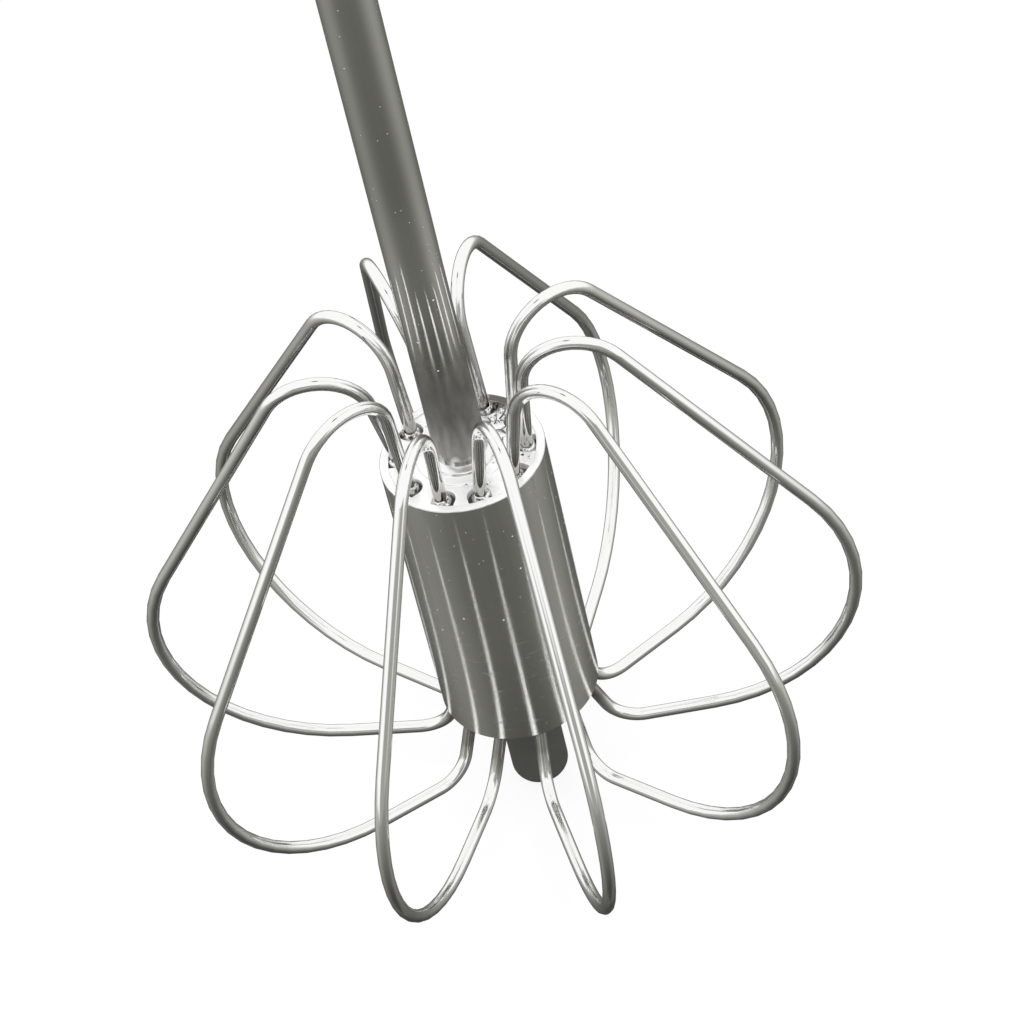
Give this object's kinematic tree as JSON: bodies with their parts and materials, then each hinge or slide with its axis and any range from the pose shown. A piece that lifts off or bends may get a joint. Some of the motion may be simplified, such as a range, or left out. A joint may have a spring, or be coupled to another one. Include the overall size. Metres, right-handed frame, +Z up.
{
  "type": "rotary push whisk",
  "caption": "Push-down hand whisk: a twisted strip in the tubular handle spins a steel shaft and its hub of bent wire loops, and a coil spring lifts the handle again.",
  "frame": {"origin": "middle of the tip's flat lower end, on the shaft's axis", "axes": "+Z up along the shaft from the tip to the handle, +X along the first wire loop"},
  "size_m": [0.0888, 0.0859, 0.3168],
  "materials": {
    "polished_wire": "bright drawn wire, polished",
    "bright_steel": "bright pressed steel",
    "satin_steel": "satin steel tube with fine scratches",
    "spring_steel": "spring steel",
    "brass": "turned brass",
    "dark_nylon": "moulded, matte"
  },
  "bodies": {
    "handle": {"handle_tube": "satin_steel", "guide_bush": "dark_nylon", "bush_screw": "bright_steel", "strip_anchor": "dark_nylon", "anchor_rivet": "bright_steel", "handle_cap": "dark_nylon", "hang_loop": "polished_wire", "drive_strip": "satin_steel", "return_spring": "spring_steel"},
    "carriage": {"spring_seat": "dark_nylon"},
    "rotor": {"shaft_tube": "satin_steel", "drive_nut": "brass", "nut_screw": "spring_steel", "hub_sleeve": "satin_steel", "hub_top_plate": "bright_steel", "hub_bottom_plate": "bright_steel", "hub_collar": "bright_steel", "foot_tip": "dark_nylon", "wire_loop_1": "polished_wire", "wire_loop_2": "polished_wire", "wire_loop_3": "polished_wire", "wire_loop_4": "polished_wire", "wire_loop_5": "polished_wire", "wire_loop_6": "polished_wire", "wire_loop_7": "polished_wire", "wire_loop_8": "polished_wire", "wire_loop_9": "polished_wire", "wire_loop_10": "polished_wire"}
  },
  "joints": [
    {"name": "push_slide", "type": "slide", "parent": "handle", "child": "carriage", "axis": [0, 0, 1], "range_m": [0, 0.06], "stiffness_N_per_m": 180, "springref_m": -0.01, "deforming": ["return_spring"]},
    {"name": "head_spin", "type": "hinge", "parent": "carriage", "child": "rotor", "pos_m": [0, 0, 0], "axis": [0, 0, 1], "range_deg": [0, 540]}
  ],
  "couplings": [
    {"joint": "head_spin", "follows": "push_slide", "rad_per_m": 157.08}
  ]
}
